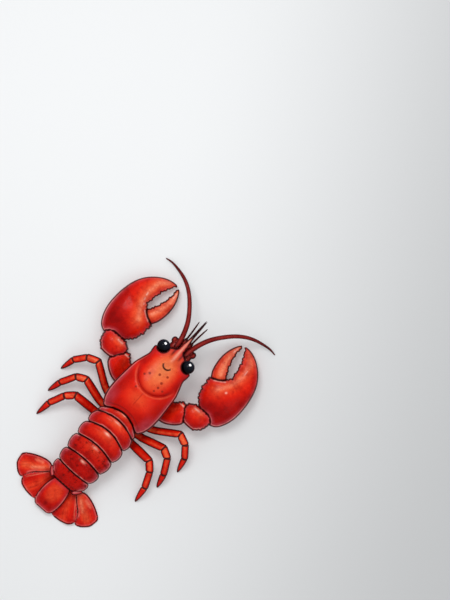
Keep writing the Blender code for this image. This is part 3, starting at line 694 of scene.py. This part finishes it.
# Share of the pale painted rim light on a ring: on its sides, and along its rear edge but on the last ring
def ring_pink(number):
    def pink(points):
        sides = ease(RINGS[number][3] - 9, RINGS[number][3] - 4, np.abs(points[:, 0]))
        rear = ease(0.5, 0.8, ring_share(number, points)) if number < 5 else 0.0
        return 0.5 * np.maximum(rear, sides)
    return pink


# Share of the crimson painted reflected light on a ring's sides
def ring_wash(number):
    def wash(points):
        return 0.8 * ease(RINGS[number][3] - 10, RINGS[number][3] - 3, np.abs(points[:, 0]))
    return wash


class LOBSTER_OT_abdomen(bpy.types.Operator):
    """Makes the six rings of the abdomen, darker and more speckled towards the tail"""

    bl_idname = "lobster.abdomen"
    bl_label = "Abdomen rings"

    def execute(self, context):
        front = finish_named("abdomen shell", shell_finish, mottle=0.55, blotch=0.1, specks=0.4)
        rear = finish_named("speckled abdomen shell", shell_finish, mottle=0.8, blotch=0.75, specks=0.7)
        for number in range(len(RINGS)):
            dress(f"abdomen_ring_{number + 1}", "abdomen_shell", rear if number > 2 else front,
                  ring_relief(number), ring_tones(number), joint=0.85, line=0.5, pink=ring_pink(number),
                  wash=ring_wash(number))
        return {"FINISHED"}


# Tail fan

def telson_relief(points, normals):
    x, ahead, _ = points.T
    above = ease(0.1, 0.5, normals[:, 2])
    depth = -0.4 * bell(np.abs(x) - 11.6 + 0.05 * (20 - ahead), 0.8) * ease(36, 30, ahead) * ease(2, 7, ahead)
    depth += 0.12 * np.sin(x * 2.6) * ease(12, 3, ahead)
    return depth * above


def telson_tones(colour, points, normals):
    x, ahead, _ = points.T
    inside = np.hypot(x / 10.5, (ahead - 24) / 14)
    return layered(
        colour,
        # painted shade on the sides, darker towards the tip and paler in the middle
        (0.6 * ease(8, 15, np.abs(x)), "deep"),
        (0.75 * ease(19, 8, ahead), "deep"),
        (0.30 * ease(1.1, 0.5, inside), "warm"),
        (0.6 * bell(np.hypot(x, ahead - 8), 2.6), TELSON_SPOT),
        (0.5 * ease(0.0, -0.6, normals[:, 2]), "belly"))


LOBE_RIBS = {"outer": ((23.5, 40.5), (35, 32), (47.5, 25)), "inner": ((17, 33), (21, 20), (26.5, 6.5))}
# Streaks of painted highlight on each lobe, as (start, end, width)
LOBE_HIGHLIGHTS = {"outer": (((33.5, 41.0), (41.0, 38.5), 2.0), ((28.5, 37.0), (38.5, 28.5), 1.8)),
               "inner": (((20.3, 37.5), (36.6, 15.8), 0.6),)}
LOBE_SEAM = ((20.9, 39.5), (39.1, 15.2))
LOBE_ROOT = (12, 44)  # where the lobes' ribs and streaks spread from


def lobe_relief(kind):
    rib = LOBE_RIBS[kind]

    def relief(points, normals):
        side, ahead = np.abs(points[:, 0]), points[:, 1]
        away = to_path(rib, side, ahead)
        fan = np.arctan2(side - LOBE_ROOT[0], LOBE_ROOT[1] - ahead)
        depth = 0.45 * bell(away, 1.2) + 0.1 * np.sin(fan * 95) * ease(24, 10, ahead + 0.25 * (52 - side))
        closing = 0.4 * bell(to_path(LOBE_SEAM, side, ahead), 2.0) * ease(0.7, 0.3, np.abs(normals[:, 2]))
        return depth * ease(0.1, 0.5, normals[:, 2]) + closing
    return relief


def lobe_tones(kind):
    def tones(colour, points, normals):
        side, ahead = np.abs(points[:, 0]), points[:, 1]
        away = to_path(LOBE_RIBS[kind], side, ahead)
        across, behind = side - LOBE_ROOT[0], LOBE_ROOT[1] - ahead
        streak = 0.5 + 0.5 * np.sin(np.arctan2(across, behind) * 60 + 2.5 * np.sin(side * 0.4))
        return layered(
            colour,
            # painted light along the rib, painted shade away from it, and streaks of painted highlight
            ((0.55 if kind == "outer" else 0.25) * bell(away, 4.5), "warm"),
            (0.30 * ease(4, 13, away), "deep"),
            *((0.45 * bell(to_path((start, end), side, ahead), width), LOBE_HIGHLIGHT)
              for start, end, width in LOBE_HIGHLIGHTS[kind]),
            (0.45 * ease(30, 18, side) * ease(22, 34, ahead), "deep"),
            (0.30 * ease(0.75, 1.0, streak) * ease(20, 30, np.hypot(across, behind)), "deep"),
            (0.5 * ease(0.0, -0.6, normals[:, 2]), "belly"))
    return tones


def lobe_line(points):
    """The dark line of painted shade along a lobe's edge is thinner where it meets the other lobe or the middle plate.
    """
    side, ahead = np.abs(points[:, 0]), points[:, 1]
    return 0.4 + 0.6 * ease(2.0, 4.0, to_path(LOBE_SEAM, side, ahead)) * ease(15.0, 19.0, side)


# The knuckle is crimson all over, with a painted highlight on its top
def knuckle_tones(colour, points, normals):
    return layered(colour, (np.full(len(points), 0.7), "rim"),
                   (0.35 * ease(0.93, 0.99, normals[:, 2]), "pale"))


class LOBSTER_OT_tail(bpy.types.Operator):
    """Makes the tail fan: the middle plate, four lobes and the knuckle at each side"""

    bl_idname = "lobster.tail"
    bl_label = "Tail fan"

    def execute(self, context):
        fan = finish_named("tail fan shell", shell_finish, roughness=0.36, mottle=0.6, blotch=0.15, specks=0.4)
        fine = context.scene.lobster_sizes.grain * 0.85
        dress("telson", "tail_shell", fan, telson_relief, telson_tones, grain=fine, rounding=2, line=0.75,
              pink=lambda points: 0.4 * ease(36, 26, points[:, 1]), wash=0.45)
        for side in SIDES:
            for kind in LOBE_RIBS:
                dress(f"tail_lobe_{kind}_{side}", "tail_shell", fan, lobe_relief(kind), lobe_tones(kind), grain=fine,
                      rounding=2, smoothing=1, line=lobe_line, pink=0.22, wash=0.15)
            dress(f"tail_knuckle_{side}", "tail_shell", fan, tones=knuckle_tones, grain=0.0004, rounding=2, joint=0.35,
                  line=0.7)
        return {"FINISHED"}


# Claws

# Edges that carry teeth, and the lines of painted light along which the claws are palest, as (x, ahead) for the
# left side
PALM_EDGE = ((63.0, 205.2), (54.5, 209.5), (49.2, 215.5), (45.8, 224.3), (44.8, 233.0), (45.6, 241.6))
PALM_TEETH = ((58.8, 249.4), (63.3, 253.5), (63.8, 261.6), (62.1, 270.2), (59.6, 278.2), (56.6, 284.8), (53.6, 289.1))
PALM_LIGHT = ((61, 289), (70.0, 281), (72.0, 266), (70.5, 254), (67, 246), (60, 235))
FINGER_TEETH = ((58.5, 253.3), (55.9, 257.3), (53.4, 262.4), (51.3, 269.2), (49.7, 275.9), (49.3, 282.2), (49.4, 289.8))
FINGER_LIGHT = ((52, 250), (47.5, 262), (45.5, 275), (46.5, 286))
HINGE_LIGHT = ((61.2, 247.2), (55.7, 243.8), (50.2, 240.4))
WRIST_EDGE = ((67.6, 180.9), (72.6, 183.7), (76.5, 188.0), (79.0, 193.5), (79.5, 199.0), (78.2, 203.4))
WRIST_INNER = ((58.6, 180.9), (52.8, 183.6), (48.8, 188.0), (46.3, 193.5), (45.7, 199.0), (48.0, 203.4))
WRIST_FRONT = ((51.0, 205.2), (54.5, 206.3), (74.5, 206.3), (77.5, 204.4))
ARM_EDGE = ((30.0, 189.4), (33.0, 191.0), (38.0, 196.0), (42.6, 199.0), (46.9, 198.4))
WRIST_LIGHT = ((56, 202), (64, 203))
ARM_LIGHT = ((43, 194), (38, 184))

# Clouds of painted shade on the claws as (x, ahead, radius, strength), and small painted highlights as (path, width)
PALM_SHADES = ((84, 216, 14, 0.9), (68, 212, 11, 0.9), (92, 240, 9, 0.5))
FINGER_SHADES = ((57, 246, 6, 0.35),)
WRIST_SHADES = ((72, 188, 9, 0.6), (54, 188, 6, 0.4))
ARM_SHADES = ((34, 168, 9, 0.3),)
PALM_GLINTS = {
    "left": ((HINGE_LIGHT, 0.8), (((71.5, 262.0), (72.0, 264.5)), 0.7), (((70.0, 256.5), (70.6, 258.5)), 0.6),
             (((66.5, 251.5), (67.5, 253.0)), 0.5)),
    "right": ((HINGE_LIGHT, 0.8), (((70.0, 238.7), (70.2, 239.0)), 1.1), (((72.5, 268.0), (72.0, 273.0)), 0.5)),
}
# Strength of the painted light along each palm's lit line
PALM_PAINTED_LIGHT = {"left": 0.62, "right": 0.5}
FINGER_GLINTS = ((((46.0, 279.0), (46.6, 285.0)), 0.6),)
WRIST_GLINTS = ((((55.5, 202.4), (61.5, 202.8)), 1.0),)
ARM_GLINTS = ((((40.0, 195.4), (44.5, 195.2)), 0.9),)


def mirrored_points(points):
    """The points with the right side folded onto the left."""
    return points * (np.where(points[:, :1] < 0, -1.0, 1.0) * (1, 0, 0) + (0, 1, 1))


def edge_relief(*edges):
    """Teeth along edges, each given as (path, spacing, reach, share of the tooth height)."""
    def relief(points, normals):
        folded = mirrored_points(points)
        height = bpy.context.scene.lobster_sizes.tooth / MM
        depth = np.zeros(len(points))
        for path, spacing, reach, share in edges:
            depth = np.maximum(depth, share * height * teeth(folded, normals, path, spacing, reach))
        return depth
    return relief


def claw_tones(light, width, dark_reach, shades, glints, painted_light):
    """Painted light along the lit line and deep red painted shade far from it, with a cloud of painted shade at each
    (x, ahead, radius, strength) and a small painted highlight along each (path, width)."""
    def tones(colour, points, normals):
        x, ahead, _ = mirrored_points(points).T
        away = to_path(light, x, ahead)
        return layered(
            colour,
            (0.75 * ease(width * 1.3, dark_reach, away), "deep"),
            *((strength * bell(np.hypot(x - cloud_x, ahead - cloud_ahead), radius), "deep")
              for cloud_x, cloud_ahead, radius, strength in shades),
            (painted_light * bell(away, width), "warm"),
            (0.7 * painted_light * bell(away, 0.35 * width), CLAW_HIGHLIGHT),
            *((0.75 * bell(to_path(path, x, ahead), reach) * ease(0.2, 0.5, normals[:, 2]), CLAW_GLINT)
              for path, reach in glints))
    return tones


# Share of the pale painted rim light on the palm, more towards its rear outer side
def palm_pink(points):
    return 0.1 + 0.45 * ease(255, 225, points[:, 1]) * ease(70, 84, np.abs(points[:, 0]))


# Share of the pale painted rim light, rising towards the rear of the piece
def rear_pink(start, end):
    def pink(points):
        return 0.1 + 0.45 * ease(start, end, points[:, 1])
    return pink


# Share of the crimson painted reflected light on the palm, more towards its rear outer side
def palm_wash(points):
    side, ahead = np.abs(points[:, 0]), points[:, 1]
    return 0.3 + 0.6 * ease(250, 215, ahead) * ease(66, 84, side)


# Share of the crimson painted reflected light on the arm, towards its root
def arm_wash(points):
    return 0.8 * ease(186, 172, points[:, 1])


class LOBSTER_OT_claws(bpy.types.Operator):
    """Makes both great claws with their teeth, knobs, wrists and arms"""

    bl_idname = "lobster.claws"
    bl_label = "Claws"

    def execute(self, context):
        finish = finish_named("claw shell", shell_finish, mottle=0.65, blotch=0.1, specks=0.4)
        for side in SIDES:
            pieces = {
                "palm": dict(
                    relief=edge_relief((PALM_EDGE, 4.6, 4.5, 1.0), (PALM_TEETH, 3.9, 4.0, 0.85)),
                    tones=claw_tones(PALM_LIGHT, 7.5, 27.0, PALM_SHADES, PALM_GLINTS[side], PALM_PAINTED_LIGHT[side]),
                    line=0.85, pink=palm_pink, wash=palm_wash),
                "finger": dict(
                    relief=edge_relief((FINGER_TEETH, 3.9, 3.5, 0.75)),
                    tones=claw_tones(FINGER_LIGHT, 7.0, 34.0, FINGER_SHADES, FINGER_GLINTS, painted_light=0.75),
                    pink=0.1, wash=0.15),
                "wrist": dict(
                    relief=edge_relief((WRIST_EDGE, 4.4, 4.0, 0.7), (WRIST_INNER, 4.2, 4.0, 0.8),
                                       (WRIST_FRONT, 4.2, 3.5, 0.7)),
                    tones=claw_tones(WRIST_LIGHT, 6.0, 24.0, WRIST_SHADES, WRIST_GLINTS, painted_light=0.4),
                    pink=rear_pink(196, 187), wash=0.4),
                "arm": dict(
                    relief=edge_relief((ARM_EDGE, 4.4, 4.0, 1.0)),
                    tones=claw_tones(ARM_LIGHT, 6.5, 36.0, ARM_SHADES, ARM_GLINTS, painted_light=0.06),
                    pink=rear_pink(184, 175), wash=arm_wash),
            }
            for piece, looks in pieces.items():
                dress(f"claw_{piece}_{side}", "claw_shell", finish, **looks)
        return {"FINISHED"}


# Walking legs

def leg_tones(colour, points, normals):
    side, up = np.abs(points[:, 0]), normals[:, 2]
    front = ease(126, 150, points[:, 1])
    return layered(
        colour,
        # painted shade on faces turned away from the top, and painted light on the tops, a little more on the front
        # legs
        (0.75 * ease(0.92 - 0.06 * front, 0.5, up), "deep"),
        ((0.6 + 0.15 * front) * ease(0.86 - 0.06 * front, 0.99, up), "warm"),
        # darker near the body, plain red underneath and darker at the toe tips
        (0.6 * ease(34, 22, side), "deep"),
        (0.5 * ease(0.0, -0.6, up), "red"),
        (0.7 * ease(8, 2, points[:, 2]) * ease(40, 50, side), "deep"))


LEG_PIECES = ("upper", "knee", "lower", "toe")
LEG_FINISH = {"roughness": 0.34, "mottle": 0.7, "blotch": 0.2, "specks": 0.4}


class LOBSTER_OT_legs(bpy.types.Operator):
    """Makes the six walking legs, four pieces each, with dark skin in their joints"""

    bl_idname = "lobster.legs"
    bl_label = "Walking legs"

    def execute(self, context):
        finish = finish_named("leg shell", shell_finish, **LEG_FINISH)
        for side in SIDES:
            for number in (1, 2, 3):
                nodes = [f"leg_{number}_{side}_{piece}" for piece in LEG_PIECES]
                for node in nodes:
                    dress(node, "leg_shell", finish, tones=leg_tones, grain=context.scene.lobster_sizes.grain * 0.8,
                          rounding=2, smoothing=1, joint=0.8, reach=0.6, line=0.8)
                for first, second in zip(nodes, nodes[1:]):
                    knuckle(first, second, finish)
        return {"FINISHED"}


# Feelers

# For the left side, as in the solids: (x, ahead, height, radius)
LONG_FEELER = (
    (7.3, 238.8, 36.6, 1.9), (7.5, 241.0, 36.9, 2.4), (7.9, 246.0, 36.8, 2.65), (9.2, 252.4, 36.2, 2.7),
    (11.5, 260.0, 35.4, 2.65), (15.4, 269.0, 34.4, 2.55), (20.5, 277.2, 33.2, 2.4), (27.4, 285.8, 31.0, 2.3),
    (35.3, 293.9, 27.0, 2.15), (44.5, 300.6, 21.4, 2.0), (54.7, 305.2, 14.8, 1.75), (66.1, 307.9, 7.8, 1.4),
    (75.2, 308.8, 3.2, 1.05), (82.7, 307.8, 0.9, 0.6),
)


def curved(rows, spacing):
    """A smooth curve through rows of numbers, read at even steps of this length."""
    rows = np.array(rows, float)
    dense = []
    for i in range(len(rows) - 1):
        a, b = rows[i], rows[i + 1]
        before = rows[i - 1] if i else 2 * a - b
        after = rows[i + 2] if i + 2 < len(rows) else 2 * b - a
        for f in np.linspace(0, 1, 12, endpoint=False):
            dense.append(0.5 * (2 * a + (b - before) * f + (2 * before - 5 * a + 4 * b - after) * f * f
                                + (3 * a - before - 3 * b + after) * f ** 3))
    return stops(dense + [rows[-1]], spacing)


# Feeler brown with a painted highlight on the tops
def feeler_tones(colour, points, normals):
    return layered(colour, (np.ones(len(points)), "feeler"),
                   (0.7 * ease(0.80, 0.99, normals[:, 2]), FEELER_HIGHLIGHT))


def whip_relief(points, normals):
    return 0.16 * ease(254, 260, points[:, 1])


def whip_tones(colour, points, normals):
    return layered(feeler_tones(colour, points, normals), (0.9 * ease(249, 254, points[:, 1]), "joint"))


class LOBSTER_OT_feelers(bpy.types.Operator):
    """Makes the long ringed feelers, the short forked feelers and their bases"""

    bl_idname = "lobster.feelers"
    bl_label = "Feelers"

    def execute(self, context):
        finish = finish_named("feeler shell", shell_finish, roughness=0.4, mottle=0.7, specks=0.4, coat=0.1)
        for side, sign in SIDES.items():
            node = f"long_feeler_{side}"
            line = bpy.data.curves.new(f"{node}_skin", "CURVE")
            line.dimensions, line.bevel_depth, line.bevel_resolution, line.use_fill_caps = "3D", MM, 4, True
            rows = curved(LONG_FEELER, 0.28)
            spline = line.splines.new("POLY")
            spline.points.add(len(rows) - 1)
            for k, (point, (x, ahead, z, radius)) in enumerate(zip(spline.points, rows)):
                point.co = (sign * x * MM, (HALF_LENGTH - ahead) * MM, z * MM, 1)
                point.radius = radius * (1.12 + 0.06 * math.cos(k * 2 * math.pi / 4))
            piece = bpy.data.objects.new(f"{node}_skin", line)
            context.scene.collection.objects.link(piece)
            only(piece)
            bpy.ops.object.convert(target="MESH")
            bpy.ops.object.shade_smooth()
            points, normals = read(piece)
            colour = layered(
                feeler_tones(np.zeros_like(points), points, normals),
                # darker towards the tip and near the root, with painted shade on the sides
                (0.6 * ease(40, 75, np.abs(points[:, 0])), "joint"),
                (0.7 * ease(0.7, 0.3, normals[:, 2]), "joint"),
                (0.6 * ease(244, 239, points[:, 1]), "joint"))
            placed(piece, node, finish, colour)
            dress(f"short_feeler_{side}", "feeler_shell", finish, whip_relief, whip_tones, grain=0.00026, rounding=1,
                  smoothing=1, line=0.4)
            dress(f"feeler_base_{side}", "feeler_shell", finish, tones=feeler_tones, grain=0.00035, rounding=2,
                  line=0.8)
        return {"FINISHED"}


# Eyes and underside

class LOBSTER_OT_eyes(bpy.types.Operator):
    """Makes the two glossy black eyes"""

    bl_idname = "lobster.eyes"
    bl_label = "Eyes"

    def execute(self, context):
        finish = eye_finish()
        for side in SIDES:
            node = f"eye_{side}"
            piece = closed_copy(node, quads=False)
            low, high = (Vector(corner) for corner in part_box(node))
            centre, radius = (low + high) / 2, (high.z - low.z) / 2
            modifier(piece, "SUBSURF", levels=3, render_levels=3)
            for vertex in piece.data.vertices:
                vertex.co = centre + (vertex.co - centre).normalized() * radius
            only(piece)
            bpy.ops.object.shade_smooth()
            bpy.data.collections["glinting"].objects.link(piece)
            placed(piece, node, finish)
        return {"FINISHED"}


def belly_tones(colour, points, normals):
    return layered(colour, (np.ones(len(points)), "belly"))


def sternum_relief(points, normals):
    x, ahead, _ = points.T
    depth = -0.7 * bell(x, 0.8)
    for joint in (132.0, 141.0, 152.0, 163.0):
        depth -= 0.7 * bell(ahead - joint - 0.12 * np.abs(x), 0.9)
    return depth


class LOBSTER_OT_underside(bpy.types.Operator):
    """Makes the breastplate and the mouth limbs"""

    bl_idname = "lobster.underside"
    bl_label = "Underside"

    def execute(self, context):
        belly = finish_named("belly shell", shell_finish, roughness=0.42, mottle=0.4, specks=0.2, coat=0.1)
        legs = finish_named("leg shell", shell_finish, **LEG_FINISH)
        dress("sternum", "belly_shell", belly, sternum_relief, belly_tones)
        for side in SIDES:
            dress(f"mouth_limb_{side}", "leg_shell", legs, tones=leg_tones, grain=0.00045)
        return {"FINISHED"}


# Table, lights and camera

class LOBSTER_OT_stage(bpy.types.Operator):
    """Sets the pale table, the soft lights and the camera straight above"""

    bl_idname = "lobster.stage"
    bl_label = "Table, lights and camera"

    def execute(self, context):
        settings = context.scene.lobster_stage
        bpy.ops.mesh.primitive_plane_add(size=8, location=(0, 0, 0))
        table = context.object
        table.name = "table"
        material, tree, shader, where = new_finish("pale table")
        # Painted fall-off of the light across the table, and a faint glow of the table's own that lightens the shadows
        way = wire(tree, "ShaderNodeVectorMath", at_0=where, at_1=DIMMER_WAY,
                   set_operation="DOT_PRODUCT").outputs["Value"]
        bright, dim = ((*(c * share for c in settings.floor), 1) for share in TABLE_SHARES)
        shade = blend(tree, ramp(tree, way, *DIMMER_SPAN), bright, dim)
        tree.links.new(blend(tree, 1.0, shade, (0.84, 0.84, 0.84, 1), "MULTIPLY"), shader.inputs["Base Color"])
        tree.links.new(shade, shader.inputs["Emission Color"])
        shader.inputs["Emission Strength"].default_value = settings.lift
        shader.inputs["Roughness"].default_value = 0.6
        table.data.materials.append(material)
        up, right = Vector(PHOTO_UP), Vector(PHOTO_RIGHT)
        lights = (
            ("key", up * 0.50 + right * -0.12 + Vector((0, 0, 1.0)), 0.5, settings.key),
            ("fill", up * -0.5 + right * 0.5 + Vector((0, 0, 1.1)), 0.9, settings.fill),
            ("glint", Vector((0.03, -1.0, 0.65)), 0.85, settings.glint),
        )
        for name, place, size, power in lights:
            bpy.ops.object.light_add(type="AREA", location=place)
            light = context.object
            light.name = name
            light.data.shape = "DISK"
            light.data.size = size
            light.data.energy = power
            light.rotation_euler = (Vector((0, -0.02, 0.02)) - place).to_track_quat("-Z", "Y").to_euler()
        # The last light, the glint, shines on the eyes alone
        light.light_linking.receiver_collection = bpy.data.collections.new("glinting")
        world = bpy.data.worlds.new("room")
        world.use_nodes = True
        context.scene.world = world
        backdrop = world.node_tree.nodes["Background"]
        backdrop.inputs["Color"].default_value = (0.93, 0.94, 0.96, 1)
        backdrop.inputs["Strength"].default_value = settings.sky
        height = PHOTO_SIZE[1] * PHOTO_SCALE * MM
        bpy.ops.object.camera_add()
        camera = context.object
        camera.data.lens = settings.lens
        camera.data.sensor_width = 36
        distance = height * camera.data.lens / camera.data.sensor_width
        turned = Matrix((Vector(PHOTO_RIGHT), up, Vector((0, 0, 1)))).transposed().to_4x4()
        camera.matrix_world = Matrix.Translation((*PHOTO_CENTRE, distance)) @ turned
        camera.data.clip_end = 50
        context.scene.camera = camera
        context.scene.view_settings.view_transform = "Standard"
        return {"FINISHED"}


OPERATORS = (LOBSTER_OT_stage, LOBSTER_OT_head, LOBSTER_OT_abdomen, LOBSTER_OT_tail, LOBSTER_OT_claws,
             LOBSTER_OT_legs, LOBSTER_OT_feelers, LOBSTER_OT_eyes, LOBSTER_OT_underside)
SETTINGS = {"lobster_colours": LobsterColours, "lobster_sizes": LobsterSizes, "lobster_stage": StageSettings}


class LOBSTER_PT_panel(bpy.types.Panel):
    """Lists the lobster's pieces and their settings"""

    bl_idname = "LOBSTER_PT_panel"
    bl_label = "Cooked Lobster"
    bl_space_type = "VIEW_3D"
    bl_region_type = "UI"
    bl_category = "Lobster"

    def draw(self, context):
        for operator in OPERATORS:
            self.layout.operator(operator.bl_idname)
        for group in SETTINGS:
            box = self.layout.box()
            for name in SETTINGS[group].__annotations__:
                box.prop(getattr(context.scene, group), name)


def register():
    for made in (*SETTINGS.values(), *OPERATORS, LOBSTER_PT_panel):
        bpy.utils.register_class(made)
    for name, group in SETTINGS.items():
        setattr(bpy.types.Scene, name, PointerProperty(type=group))


def unregister():
    for name in SETTINGS:
        delattr(bpy.types.Scene, name)
    for made in (LOBSTER_PT_panel, *OPERATORS[::-1], *SETTINGS.values()):
        bpy.utils.unregister_class(made)


def main():
    register()
    for operator in OPERATORS:
        group, name = operator.bl_idname.split(".")
        getattr(getattr(bpy.ops, group), name)()


if __name__ == "__main__":
    main()
